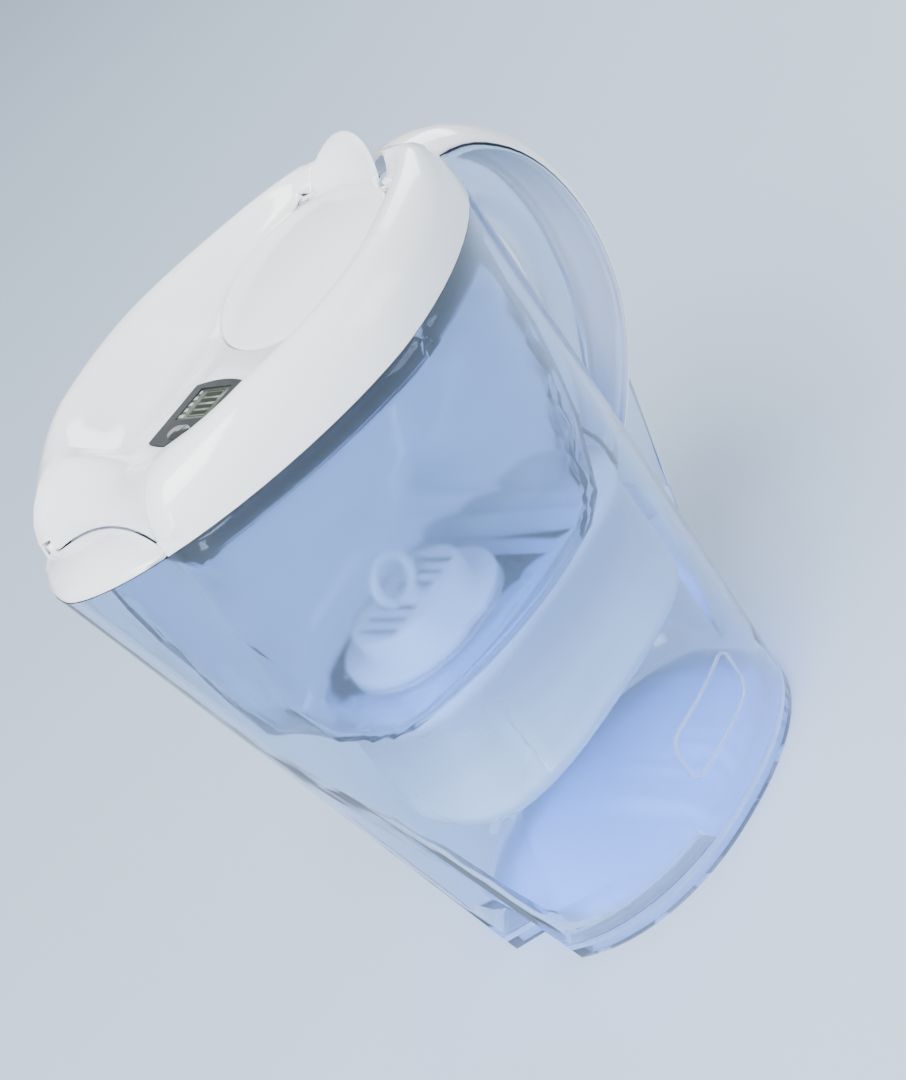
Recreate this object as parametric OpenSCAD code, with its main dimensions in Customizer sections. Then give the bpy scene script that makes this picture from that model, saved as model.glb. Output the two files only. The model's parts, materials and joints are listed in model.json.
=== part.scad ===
// Water filter pitcher with flip lid.
// Millimetres. +Z is up, the spout points along -X and the handle along +X. The origin lies on
// the table, under the middle of the whole pitcher.

/* [Jug] */
// Height of the jug's rim above the table
jug_h = 245.6; // [210:1:290]
// Thickness of the jug's wall
wall = 3; // [2:0.1:4]
// Thickness of the jug's floor
floor_t = 4; // [3:0.1:6]
// Where the flat rear wall stands
rear_x = 75; // [68:0.5:76]
// Width of the jug at the rim
rim_w = 144; // [136:1:156]
// From the rim's widest place to the tip of the spout
rim_nose = 115.5; // [108:1:122]
// From the rim's widest place to the rear end of its curve
rim_tail = 105; // [100:1:112]
// Where the rim is widest
rim_cx = -19; // [-24:1:-14]
// Roundness of the rim towards the spout
rim_nose_power = 1.68; // [1.5:0.02:2]
// Roundness of the rim towards the handle
rim_tail_power = 1.79; // [1.6:0.02:2.2]
// Width of the jug at the table
base_w = 113; // [104:1:122]
// From the base's widest place to its front
base_nose = 71; // [66:1:78]
// From the base's widest place to the rear end of its curve
base_tail = 87.5; // [87:0.5:92]
// Where the base is widest
base_cx = -10; // [-12:0.5:-6]
// Roundness of the base
base_power = 2.17; // [1.9:0.02:2.6]

/* [Keel] */
// Half the width of the grooved keel at the table
keel_base_half = 17.7; // [14:0.1:21]
// Half the width of the keel's ridge in the spout
keel_tip_half = 10; // [8:0.1:12]
// Depth of the keel's groove at the table
keel_depth = 9.5; // [5:0.1:12]
// Height at which the groove has faded out
keel_end_z = 136; // [110:1:160]

/* [Foot ring] */
// Height of the soft ring that the jug stands on
foot_h = 6; // [5:0.1:9]
// Width of the foot ring
foot_w = 5; // [4:0.1:7]

/* [Handle] */
// Radius of the grip along its middle
grip_r = 16.2; // [14:0.1:18]
// Radius of the grip where it meets the lid
grip_top_r = 19; // [17:0.1:20]
// Radius of the grip where it meets the lower wall
grip_low_r = 12; // [10:0.1:15]
// Thickness of the grip's clear channel
grip_wall = 3; // [2:0.1:4]
// Height of the grip's lower root
grip_low_z = 117; // [105:1:125]
// How far the upper half of the grip is drawn out from the rear wall
grip_pull_top = 50; // [44:1:56]
// How far the lower half of the grip is drawn out from the rear wall
grip_pull_low = 65; // [58:1:72]
// Half of the angle that the white cover spans
cover_half_deg = 62; // [50:1:70]
// Thickness of the white cover
cover_t = 2.4; // [1.8:0.1:3]
// Thickness of the clear web under the grip
web_t = 3; // [2:0.1:5]
// Height of the web's lower end
web_low_z = 15; // [10:1:40]

/* [Funnel] */
// Thickness of the funnel's wall
tank_t = 2.2; // [1.8:0.1:3]
// Height of the collar that lines the jug's rim
collar_h = 11; // [9:0.5:14]
// Depth of the step below the collar
collar_step = 1.6; // [1:0.1:2.4]
// Underside of the upper tank
tank_z = 129; // [122:1:136]
// Where the tank's front wall stands
tank_front_x = -103; // [-103.5:0.1:-102]
// Height at which the tank's front wall starts to curve under
tank_front_z = 155; // [150:1:165]
// How far the tank's front curves under
tank_front_run = 33.5; // [30:0.5:34]
// Where the tank's rear wall stands below the collar
tank_rear_x = 60; // [54:1:63]
// Where the tank's rear curve reaches its underside
tank_rear_low_x = 5.5; // [5:0.5:8]
// Radius of the air vent in the funnel's collar
vent_r = 1.25; // [1:0.05:1.6]
// Length of the cartridge well
well_l = 140; // [130:1:142]
// Width of the cartridge well
well_w = 83; // [78:1:88]
// Underside of the cartridge well
well_z = 67; // [62:1:70]
// Where the middle of the cartridge well lies
well_cx = -7; // [-10:1:-5]
// Height of the thicker band round the top of the well
well_band_h = 9; // [7:0.5:12]
// Width of the outlet slots in the well's floor
slot_w = 3; // [2:0.1:4]

/* [Cartridge] */
// Length of the filter cartridge
cart_l = 62; // [56:1:63]
// Width of the filter cartridge
cart_w = 50; // [46:1:54]
// Height of the cartridge below its flange
cart_h = 54; // [48:1:58]
// Where the middle of the cartridge lies
cart_cx = -32; // [-33:0.5:-31]
// Thickness of the cartridge's wall
cart_t = 1.5; // [1.2:0.1:2]
// Width of the flange that the cartridge hangs from
flange_w = 3.4; // [3:0.1:3.8]
// Thickness of the sealing ring under the flange
seal_t = 1.6; // [1.2:0.1:2]
// Height of the cartridge's cap
cap_h = 12; // [10:0.5:16]
// Radius of the pull ring on the cap
ring_r = 9; // [8:0.5:12]

/* [Lid] */
// Thickness of the lid's shell
lid_t = 2.4; // [2:0.1:2.8]
// Gap between the lid's edge and the jug's rim
lid_gap = 0.3; // [0.2:0.05:0.5]
// Height of the lid's raised shoulder above the rim
shoulder_h = 27.4; // [25:0.2:30]
// From the lid's edge to the top of the shoulder
shoulder_in = 15; // [13:0.5:17]
// Height of the shoulder's front above the rim
front_h = 15.6; // [14:0.2:18]
// Height of the valley's floor above the rim
valley_h = 8.9; // [8:0.1:10]
// Width of the slope from the shoulder down to the valley
slope_w = 28; // [22:1:30]
// Half the width of the lid's cut-away front
mouth_half = 33.9; // [31:0.5:36]
// How deep the lid's cut-away front curves in
mouth_sag = 6.6; // [5:0.1:7.5]
// Where the middle of the lid's cut-away front lies
mouth_x = -105.8; // [-106.5:0.1:-105]
// Depth of the skirt that locates the lid in the funnel
skirt_h = 7.6; // [6:0.2:9]
// Thickness of the skirt
skirt_t = 2; // [1.6:0.1:2.4]

/* [Flip lid] */
// Radius of the flip lid
flip_r = 38; // [36:0.2:39]
// Where the middle of the flip lid lies
flip_x = 17.6; // [16:0.2:19]
// Height of the flip lid's middle above the rim
flip_h = 14.1; // [13:0.1:15]
// Slope of the flip lid, in degrees
flip_tilt = 9.1; // [8:0.1:10]
// Height of the flip lid's dome
flip_dome = 5; // [3:0.2:6]
// Thickness of the flip lid's plate
flip_t = 1.6; // [1.2:0.1:2]
// Gap round the flip lid
flip_gap = 0.7; // [0.5:0.05:0.7]
// Half the width of the thumb tab
tab_half = 17.7; // [15:0.1:18]
// How far the thumb tab stands up
tab_h = 14.2; // [11:0.2:16]
// How far the thumb tab leans back
tab_lean = 10.8; // [9:0.2:12]
// Thickness of the thumb tab
tab_t = 2.4; // [2:0.1:3]

/* [Spout flap] */
// Thickness of the spout flap
flap_t = 1.8; // [1.5:0.1:2.2]
// Gap between the spout flap and the lid
flap_gap = 0.6; // [0.5:0.05:0.9]
// Height of the flap's dome above its edges
flap_dome = 2.2; // [1.5:0.1:3]

/* [Hinges] */
// Radius of the stub axles
axle_r = 1.5; // [1.2:0.05:1.6]
// Running clearance round the axles
axle_fit = 0.05; // [0.03:0.01:0.1]

/* [Filter indicator] */
// Length of the indicator's bezel
bezel_l = 32.8; // [31:0.2:33]
// Width of the bezel
bezel_w = 26; // [24:0.2:26]
// Thickness of the bezel
bezel_t = 1.6; // [1.4:0.1:2]
// Where the middle of the indicator lies
bezel_x = -53.2; // [-54:0.1:-52.5]
// Length of the display
lcd_l = 16; // [14:0.2:16.4]
// Width of the display
lcd_w = 17; // [15:0.2:18]
// Depth of the indicator's case
case_h = 7.6; // [7.6:0.1:9]
// Length of the oval start button
button_l = 6; // [5:0.1:6.5]
// Width of the oval start button
button_w = 10; // [8:0.1:11]
// How far the start button travels
button_travel = 0.6; // [0.4:0.05:0.7]
// Radius of the coin cell
cell_r = 6.2; // [5.5:0.1:6.4]
// Thickness of the coin cell
cell_t = 2; // [1.6:0.1:2.4]

/* [Hidden] */
$fn = 48;

// Free space between two fixed pieces
fit = 0.3;
// Points along each side of a plan outline, and rings up a wall
SIDE_N = 24;
WALL_N = 10;
// How far a cutter passes the face that it cuts
past = 1;

// ---------------------------------------------------------------- plain helpers

function mix(a, b, k) = a + (b - a) * k;
function clamp(v) = min(1, max(0, v));
function smooth(k) = k * k * (3 - 2 * k);
function unit(v) = v / norm(v);
function left(v) = [-v[1], v[0]];
function flip_y(loop) = [for (i = [len(loop) - 1 : -1 : 0]) [loop[i][0], -loop[i][1]]];
function at(loop, z) = [for (p = loop) [p[0], p[1], z]];
function total(list, i = 0) = i == len(list) ? list[0] * 0 : list[i] + total(list, i + 1);
function middle(ring) = total(ring) / len(ring);

// A counter-clockwise loop moved inwards by d, with mitred corners
function inset(loop, d) = let (n = len(loop)) [
    for (i = [0 : n - 1])
        let (a = left(unit(loop[i] - loop[(i + n - 1) % n])),
             b = left(unit(loop[(i + 1) % n] - loop[i])),
             m = a + b)
        loop[i] + m * (2 * d / (m * m))
];

// A solid through rings of equally many points. Each ring runs counter-clockwise seen from the
// side of the next one. ends: "fan" closes a round ring, "strip" a folded one, "loop" joins the
// last ring to the first.
module loft(rings, ends = "fan") {
    n = len(rings[0]);
    m = len(rings);
    points = concat([for (r = rings) each r], [middle(rings[0]), middle(rings[m - 1])]);
    last = (m - 1) * n;
    sides = [
        for (i = [0 : ends == "loop" ? m - 1 : m - 2], j = [0 : n - 1])
            let (a = i * n, b = ((i + 1) % m) * n, k = (j + 1) % n)
            each [[a + j, b + j, b + k], [a + j, b + k, a + k]]
    ];
    fans = [
        for (j = [0 : n - 1])
            let (k = (j + 1) % n)
            each [[m * n, j, k], [m * n + 1, last + k, last + j]]
    ];
    strips = [
        for (j = [0 : n / 2 - 2])
            let (q = n - 1 - j)
            each [[j, j + 1, q - 1], [j, q - 1, q],
                  [last + j, last + q - 1, last + j + 1], [last + j, last + q, last + q - 1]]
    ];
    used = ends == "fan" ? points : [for (i = [0 : m * n - 1]) points[i]];
    polyhedron(used, concat(sides, ends == "fan" ? fans : ends == "strip" ? strips : []),
        convexity = 8);
}

// An oval with straight sides and round ends
module oval(l, w) {
    square([l - w, w], center = true);
    for (s = [-1, 1]) translate([s * (l - w) / 2, 0]) circle(d = w);
}

// ---------------------------------------------------------------- plan of the jug

// The outline is a superellipse whose sizes run evenly from the table to the rim, cut off flat
// at the rear and grooved along the keel.
function up(z) = z / jug_h;
function plan_cx(z) = mix(base_cx, rim_cx, up(z));
function plan_half(z) = mix(base_w, rim_w, up(z)) / 2;
function plan_nose(z) = mix(base_nose, rim_nose, up(z));
function plan_tail(z) = mix(base_tail, rim_tail, up(z));
function nose_power(z) = mix(base_power, rim_nose_power, up(z));
function tail_power(z) = mix(base_power, rim_tail_power, up(z));
function nose_x(z, y) = plan_cx(z)
    - plan_nose(z) * pow(1 - pow(abs(y) / plan_half(z), nose_power(z)), 1 / nose_power(z));

// Points of the +Y side, from the rear corner to where the side has come in to y = stop_y
function side_point(z, a) = a < 90
    ? [plan_cx(z) + plan_tail(z) * pow(cos(a), 2 / tail_power(z)),
       plan_half(z) * pow(sin(a), 2 / tail_power(z))]
    : [plan_cx(z) - plan_nose(z) * pow(-cos(a), 2 / nose_power(z)),
       plan_half(z) * pow(sin(a), 2 / nose_power(z))];
function rear_angle(z) = acos(pow((rear_x - plan_cx(z)) / plan_tail(z), tail_power(z) / 2));
function stop_angle(z, y) = 180 - asin(pow(y / plan_half(z), nose_power(z) / 2));
function side(z, stop_y, n) = [
    for (i = [0 : n]) side_point(z, mix(rear_angle(z), stop_angle(z, stop_y), i / n))
];

// The keel: its edges, and the floor of its groove, which rises into the spout's ridge
keel_flat = 0.5;
function keel_half(z) = mix(keel_base_half, keel_tip_half, clamp(z / keel_end_z));
function keel_x(z, y) = mix(nose_x(z, y), nose_x(z, keel_half(z)) + keel_depth,
    clamp(1 - z / keel_end_z));
function jug_ring(z) = let (s = side(z, keel_half(z), SIDE_N), g = keel_half(z) * keel_flat)
    concat(s, [[keel_x(z, g), g], [keel_x(z, 0), 0], [keel_x(z, g), -g]], flip_y(s));

// ---------------------------------------------------------------- jug

jug_floor_z = foot_h - floor_t / 2;
foot_fit = 0.3;
function wall_z(low, i) = mix(low, jug_h, i / WALL_N);

// The path of the grip, as [x, z]: one curve from the rim to its lower root
grip_pull_up = 47;
grip_path = [[rear_x, jug_h], [rear_x + grip_pull_top, jug_h - 5],
    [rear_x + grip_pull_low, grip_low_z + grip_pull_up], [rear_x, grip_low_z]];
grip_n = 26;
function bezier(p, t) = p[0] * pow(1 - t, 3) + p[1] * 3 * t * pow(1 - t, 2)
    + p[2] * 3 * t * t * (1 - t) + p[3] * pow(t, 3);
function bezier_way(p, t) = unit((p[1] - p[0]) * pow(1 - t, 2) + (p[2] - p[1]) * 2 * t * (1 - t)
    + (p[3] - p[2]) * t * t);
function grip_radius(t) = t < 0.25 ? mix(grip_top_r, grip_r, smooth(t / 0.25))
    : mix(grip_r, grip_low_r, smooth(clamp((t - 0.7) / 0.3)));

// Each section lies across the path, and turns upright where the grip meets the rear wall
function grip_out(t) = let (w = bezier_way(grip_path, t)) [-w[1], w[0]];
function section_way(t) = let (
        low = smooth(clamp((1 - t) / 0.3)),
        high = smooth(clamp(t / 0.15)))
    t > 0.5 ? unit(mix([0, -1], grip_out(t), low)) : unit(mix([0, 1], grip_out(t), high));
function grip_point(t, y, out) = let (
        c = bezier(grip_path, t),
        d = section_way(t),
        p = c + d * (out / (d * grip_out(t))))
    [p[0], y, p[1]];
function grip_ring(profile, t) = [
    for (q = profile) grip_point(t, q[1] * cos(q[0]), q[1] * sin(q[0]))
];
function channel_profile(r) = let (n = 22, a = 90 + cover_half_deg, b = 450 - cover_half_deg) concat(
    [for (i = [0 : n]) [mix(a, b, i / n), r]],
    [for (i = [n : -1 : 0]) [mix(a, b, i / n), r - grip_wall]]);

// The cover: a curved strip with two ribs that snap in behind the channel's lips
cover_gap_deg = 1;
cover_start = 0.006;
rib_deep = 2;
function cover_profile(r) = let (
        e = cover_half_deg - cover_gap_deg,
        skin = r - cover_t,
        rib = r - grip_wall - rib_deep,
        one = [[0, skin], [e - 45, skin], [e - 30, skin], [e - 15, skin], [e - 12, rib], [e - 5, rib],
            [e, skin]],
        last = len(one) - 1,
        marks = concat([for (i = [last : -1 : 1]) [-one[i][0], one[i][1]]], one))
    concat([for (m = marks) [90 + m[0], r]],
        [for (i = [2 * last : -1 : 0]) [90 + marks[i][0], marks[i][1]]]);

module jug_wall() loft(concat(
    [for (z = [jug_floor_z, foot_h]) at(inset(jug_ring(z), foot_w + foot_fit), z)],
    [for (i = [0 : WALL_N]) at(jug_ring(wall_z(foot_h, i)), wall_z(foot_h, i))],
    [for (i = [WALL_N : -1 : 0]) let (z = wall_z(jug_floor_z + floor_t, i))
        at(inset(jug_ring(z), wall), z)]));

// The web's outline follows the underside of the grip from its back to the wall
web_from = 0.82;
web_out = 20;
web_rise = 62;
module grip_web() {
    in_wall = wall / 2;
    steps = 8;
    under = [for (i = [0 : steps]) let (t = mix(web_from, 1, i / steps), p = grip_point(t, 0, grip_radius(t)))
        [p[0], p[2]]];
    rotate([90, 0, 0]) linear_extrude(web_t, center = true)
        polygon(concat([[rear_x - in_wall, web_low_z], [rear_x, web_low_z],
            [rear_x + web_out, web_low_z + web_rise]], under, [[rear_x - in_wall, under[steps][1]]]));
}

module jug_body() color([0.72, 0.83, 0.93, 0.35]) union() {
    jug_wall();
    grip_web();
}

module foot_ring() color([0.85, 0.9, 0.95, 0.6]) {
    low = -past;
    high = foot_h + past;
    intersection() {
        loft([at(jug_ring(low), low), at(jug_ring(high), high),
            at(inset(jug_ring(high), foot_w), high), at(inset(jug_ring(low), foot_w), low)], "loop");
        translate([-rim_nose, -rim_w, 0] + [rim_cx, 0, 0]) cube([2 * rim_nose, 2 * rim_w, foot_h]);
    }
}

module handle_grip() color([0.88, 0.92, 0.97, 0.5]) loft([
    for (i = [0 : grip_n]) grip_ring(channel_profile(grip_radius(i / grip_n)), i / grip_n)], "strip");

module handle_cover() color("white") loft([
    for (i = [0 : grip_n])
        let (t = mix(cover_start, 1, i / grip_n)) grip_ring(cover_profile(grip_radius(t)), t)], "strip");

// ---------------------------------------------------------------- funnel

funnel_in = wall + fit;
collar_z = jug_h - 0.4;
tank_top_z = collar_z - collar_h;
tank_in = funnel_in + collar_step;
tank_round = 16;
front_power = 1.6;
rear_power = 0.65;
function mouth_curve(y) = mouth_sag * pow(y / mouth_half, 2);

// The front curves under towards the keel, and the rear sweeps forward away from the handle
function tank_front(z) = tank_front_x + tank_front_run * (1 - pow(1
    - pow(clamp((tank_front_z - z) / (tank_front_z - tank_z)), front_power), 1 / front_power));
function tank_rear(z) = tank_rear_x - (tank_rear_x - tank_rear_low_x) * pow(1
    - pow(clamp((z - tank_z) / (tank_top_z - tank_z)), rear_power), 1 / rear_power);
function tank_squeeze(z) = let (k = clamp(1 - (z - tank_z) / tank_round))
    1 - tank_round * (1 - sqrt(1 - k * k)) / plan_half(z);
// A ring of the tank's outside, or of its inside when t is the wall's thickness
function tank_ring(z, t = 0) = [
    for (p = inset(jug_ring(z), tank_in + t))
        [clamp_to(p[0], tank_front(z) - mouth_curve(p[1]) + t, tank_rear(z) - t), p[1] * tank_squeeze(z)]
];
function collar_ring(z, t = 0) = [
    for (p = inset(jug_ring(z), funnel_in + t)) [max(p[0], tank_front_x - mouth_curve(p[1]) + t), p[1]]
];
function clamp_to(v, low, high) = min(high, max(low, v));

// Rings lie close together where the tank curves under
curve_zs = [for (a = [0 : 15 : 90]) tank_z + tank_round * (1 - cos(a))];
wall_zs = [for (k = [0.2 : 0.2 : 1]) mix(tank_z + tank_round, tank_top_z - collar_step, k)];
tank_zs = concat(curve_zs, wall_zs);
tank_floor_z = tank_z + tank_t;
module tank_shell() loft(concat(
    [for (z = tank_zs) at(tank_ring(z), z)],
    [for (z = [tank_top_z, collar_z]) at(collar_ring(z), z)],
    [for (z = [collar_z, tank_top_z + tank_t]) at(collar_ring(z, tank_t), z)],
    [for (i = [len(tank_zs) - 1 : -1 : 0]) at(tank_ring(tank_zs[i], tank_t), tank_zs[i] + tank_t)]));

vent_x = -7.8;
vent_z = jug_h - 4.6;
module funnel_tank() color([0.8, 0.88, 0.96, 0.45]) difference() {
    tank_shell();
    translate([cart_cx, 0, tank_z - past]) linear_extrude(tank_t + 2 * past + tank_t)
        oval(cart_l + 2 * fit, cart_w + 2 * fit);
    translate([vent_x, 0, vent_z]) rotate([90, 0, 0]) cylinder(r = vent_r, h = rim_w);
}

// The well hangs under the tank, and its roof meets the tank's floor
well_power = 3;
well_round = 10;
well_band = 1.4;
WELL_N = 56;
function well_ring(grow) = [
    for (i = [0 : WELL_N - 1])
        let (a = 360 * i / WELL_N, p = 2 / well_power)
        [well_cx + (well_l / 2 + grow) * sign(cos(a)) * pow(abs(cos(a)), p),
         (well_w / 2 + grow) * sign(sin(a)) * pow(abs(sin(a)), p)]
];
function oval_ring(cx, l, w) = [
    for (i = [0 : WELL_N - 1])
        let (a = 360 * i / WELL_N, s = a > 90 && a < 270 ? -1 : 1)
        [cx + s * (l - w) / 2 + w / 2 * cos(a), w / 2 * sin(a)]
];
function round_grow(a, r) = -r * (1 - sin(a));
function round_z(a, r) = well_z + r * (1 - cos(a));
module well_shell() {
    top = tank_z;
    inner_r = well_round - tank_t;
    loft(concat(
        [for (a = [0 : 18 : 90]) at(well_ring(round_grow(a, well_round)), round_z(a, well_round))],
        [at(well_ring(0), top - well_band_h), at(well_ring(well_band), top - well_band_h),
         at(well_ring(well_band), top)],
        [for (z = [top, top - tank_t]) at(oval_ring(cart_cx, cart_l + 2 * fit, cart_w + 2 * fit), z)],
        [at(well_ring(-tank_t), top - tank_t)],
        [for (a = [90 : -18 : 0]) at(well_ring(-tank_t + round_grow(a, inner_r)),
            round_z(a, inner_r) + tank_t)]));
}

// Filtered water leaves through slots in the well's floor and two at each side of its front
floor_slots = 7;
slot_step = 8;
slot_l = 34;
side_slot_h = 14;
side_slot_in = 17;
side_slot_step = 7;
side_slot_z = well_z + 16;
module well_slots() {
    for (i = [0 : floor_slots - 1])
        translate([cart_cx + (i - (floor_slots - 1) / 2) * slot_step, 0, well_z + tank_t / 2])
            cube([slot_w, slot_l, tank_t + 2 * past], center = true);
    for (side = [-1, 1], i = [0, 1])
        translate([well_cx - well_l / 2 + side_slot_in + i * side_slot_step, side * well_w / 2, side_slot_z])
            cube([slot_w, 4 * tank_t, side_slot_h], center = true);
}
module cartridge_well() color([0.93, 0.95, 0.98, 0.8]) difference() {
    well_shell();
    well_slots();
}

// ---------------------------------------------------------------- cartridge

seal_z = tank_floor_z;
flange_z = seal_z + seal_t;
flange_t = 2;
cart_z = flange_z - cart_h;
cap_z = flange_z + flange_t;
screen_t = 1.2;
screen_gap = 0.05;
flange_l = cart_l + 2 * flange_w;
flange_wide = cart_w + 2 * flange_w;
inner_l = cart_l - 2 * cart_t;
inner_w = cart_w - 2 * cart_t;
grid_step = 6;
module on_cartridge(z) translate([cart_cx, 0, z]) children();

module cartridge_shell() color([0.97, 0.97, 0.98]) on_cartridge(cart_z) difference() {
    union() {
        linear_extrude(cart_h) oval(cart_l, cart_w);
        translate([0, 0, cart_h]) linear_extrude(flange_t) oval(flange_l, flange_wide);
    }
    translate([0, 0, cart_t]) linear_extrude(cart_h + flange_t) oval(inner_l, inner_w);
    for (i = [-3 : 3]) translate([i * grid_step, 0, -past])
        linear_extrude(cart_t + 2 * past) rotate(90) oval(cart_w * 0.6, slot_w);
}

module cartridge_seal() color([0.35, 0.37, 0.4]) on_cartridge(seal_z) linear_extrude(seal_t)
    difference() {
        oval(flange_l, flange_wide);
        oval(cart_l + 2 * fit, cart_w + 2 * fit);
    }

module outlet_screen() color([0.9, 0.9, 0.86]) on_cartridge(cart_z + cart_t)
    linear_extrude(screen_t) oval(inner_l - 2 * screen_gap, inner_w - 2 * screen_gap);

module filter_granulate() color([0.25, 0.24, 0.22]) on_cartridge(cart_z + cart_t + screen_t)
    linear_extrude(cap_z - screen_t - (cart_z + cart_t + screen_t)) oval(inner_l, inner_w);

module inlet_screen() color([0.9, 0.9, 0.86]) on_cartridge(cap_z - screen_t)
    linear_extrude(screen_t) oval(inner_l - 2 * screen_gap, inner_w - 2 * screen_gap);

// The cap: a plate on the flange, a raised oval top with inlet slots, and the upright pull ring
cap_plate = 2;
ring_wire = 1.8;
module cartridge_cap() color([0.97, 0.97, 0.98]) on_cartridge(cap_z) {
    difference() {
        union() {
            linear_extrude(cap_plate) oval(flange_l, flange_wide);
            linear_extrude(cap_h) oval(inner_l - 8, inner_w - 8);
        }
        translate([0, 0, -past]) linear_extrude(cap_h - cap_plate + past)
            oval(inner_l - 8 - 2 * cap_plate, inner_w - 8 - 2 * cap_plate);
        for (i = [-3 : 3]) if (i != 0) translate([i * grid_step, 0, cap_h - cap_plate - past])
            linear_extrude(cap_plate + 2 * past) rotate(90) oval(inner_w * 0.45, slot_w);
    }
    translate([0, 0, cap_h + ring_r - ring_wire / 2]) rotate([90, 0, 0])
        rotate_extrude() translate([ring_r, 0]) circle(ring_wire);
}

// ---------------------------------------------------------------- lid

rim_z = jug_h + lid_gap;
shoulder_z = jug_h + shoulder_h;
front_z = jug_h + front_h;
valley_z = jug_h + valley_h;
lip_h = 1.5;
mouth_arch = 7;
mouth_fade = 3.5;
front_in_extra = 9;
front_slope_w = 16;
seat_w = 2.9;
throat_t = 2.2;
throat_z = rim_z + 1.2;
notch_half = tab_half + 0.6;
notch_drop = 11.3;
notch_crest_in = 8;
lid_rear_gap = 0.4;
MOUTH_N = 8;

// The flip lid's own plane: its middle, tilted up towards the handle
flip_z = jug_h + flip_h;
hole_r = flip_r + flip_gap;
function on_flip(v) = let (c = cos(flip_tilt), s = sin(flip_tilt))
    [flip_x + v[0] * c - v[2] * s, v[1], flip_z + v[0] * s + v[2] * c];
function hole_point(a, r) = on_flip([r * cos(a), r * sin(a), 0]);
function flip_plane_z(x) = flip_z + (x - flip_x) * tan(flip_tilt);

// The lid's outline: across the rear, with the thumb tab's notch, along the side, and round the
// cut-away front. Each entry is [x, y, k]: k is 1 inside the notch, 2 on its side walls, else 0.
notch_ys = [0, notch_half / 2, notch_half, notch_half + 0.6, notch_half + 0.6 + lid_t];
function notch_kind(i) = i <= 2 ? 1 : i == 3 ? 2 : 0;
lid_side = side(jug_h, mouth_half, SIDE_N);
lid_half = concat(
    [for (i = [0 : 4]) [rear_x - lid_rear_gap, notch_ys[i], notch_kind(i)]],
    [for (i = [0 : SIDE_N]) [min(lid_side[i][0], rear_x - lid_rear_gap), lid_side[i][1], 0]],
    [for (i = [MOUTH_N - 1 : -1 : 0]) let (y = mouth_half * i / MOUTH_N)
        [mouth_x - mouth_curve(y), y, 0]]);
rear_fan = len(notch_ys) + 1;
rear_spread = 0.72;
half_n = len(lid_half);

// Where each spoke from the outline meets the flip lid's hole, as an angle about its middle
function own_angle(p) = atan2(p[1], p[0] - flip_x);
function spoke_angle(i) = let (p = lid_half[i])
    i < rear_fan ? asin(min(p[1], hole_r * rear_spread) / hole_r)
    : own_angle(p) + (spoke_angle(rear_fan - 1) - own_angle(lid_half[rear_fan - 1]))
        * pow(clamp((half_n - 1 - MOUTH_N - i) / SIDE_N), 2);
function is_mouth(i) = i >= half_n - MOUTH_N;
function mouth_k(i) = clamp(lid_half[i][1] / mouth_half);
function edge_z(i) = rim_z + (is_mouth(i) ? mouth_arch * (1 - pow(mouth_k(i), 2)) : 0);
function notched(i, under) = lid_half[i][2] == 1 || (under && lid_half[i][2] == 2);
fade_from_x = -75;
fade_run = 35;
function side_fade(x) = clamp((fade_from_x - x) / fade_run);
notch_crest_h = 7.9;
function crest_z(i, under) = notched(i, under) ? jug_h + notch_crest_h
    : is_mouth(i) ? mix(front_z, shoulder_z - mouth_fade, pow(mouth_k(i), 1.5))
    : shoulder_z - mouth_fade * side_fade(lid_half[i][0]);
function crest_in(i) = notched(i, false) ? notch_crest_in
    : is_mouth(i) ? mix(shoulder_in + 1, shoulder_in + front_in_extra, mouth_k(i))
    : shoulder_in + front_in_extra * pow(side_fade(lid_half[i][0]), 2);
function slope_run(i) = is_mouth(i) ? mix(front_slope_w, front_slope_w + 4, mouth_k(i))
    : mix(slope_w, front_slope_w + 4, side_fade(lid_half[i][0]));

// A point of spoke i: d from the outline towards the hole, at height z
function spoke_hole(i) = hole_point(spoke_angle(i), hole_r);
function spoke_l(i) = let (p = lid_half[i], h = spoke_hole(i)) norm([h[0] - p[0], h[1] - p[1]]);
function spoke_point(i, d, z) = let (p = lid_half[i], h = spoke_hole(i), k = d / spoke_l(i))
    [mix(p[0], h[0], k), mix(p[1], h[1], k), z];
function drop(i, under) = notched(i, under) ? notch_drop : 0;
function hole_z(i, r, under) = hole_point(spoke_angle(i), r)[2] - drop(i, under);
function toe_d(i) = min(crest_in(i) + slope_run(i),
    spoke_l(i) - throat_t - 0.5 - (lid_half[i][2] > 0 ? 2 * throat_t : 0));
function toe_z(i, under) = let (x = spoke_point(i, toe_d(i), 0)[0])
    notched(i, under) ? hole_z(i, hole_r, under) : max(valley_z, flip_plane_z(x));

// How far along spoke i a point lies that is d away from the whole outline
function flat_point(p) = [p[0], p[1]];
function edge_gap(p, a, b) = let (k = clamp((p - a) * (b - a) / ((b - a) * (b - a)))) norm(p - mix(a, b, k));
function outline_gap(p) = min([for (i = [0 : half_n - 2])
    edge_gap(p, flat_point(lid_half[i]), flat_point(lid_half[i + 1]))]);
function reach(i, d, low = 0, high = 30, left = 9) = let (m = (low + high) / 2)
    left == 0 ? m
    : outline_gap(flat_point(spoke_point(i, m, 0))) < d ? reach(i, d, m, high, left - 1)
    : reach(i, d, low, m, left - 1);

skirt_gap = 1.3;
skirt_in = wall + fit + tank_t + skirt_gap;
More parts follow.
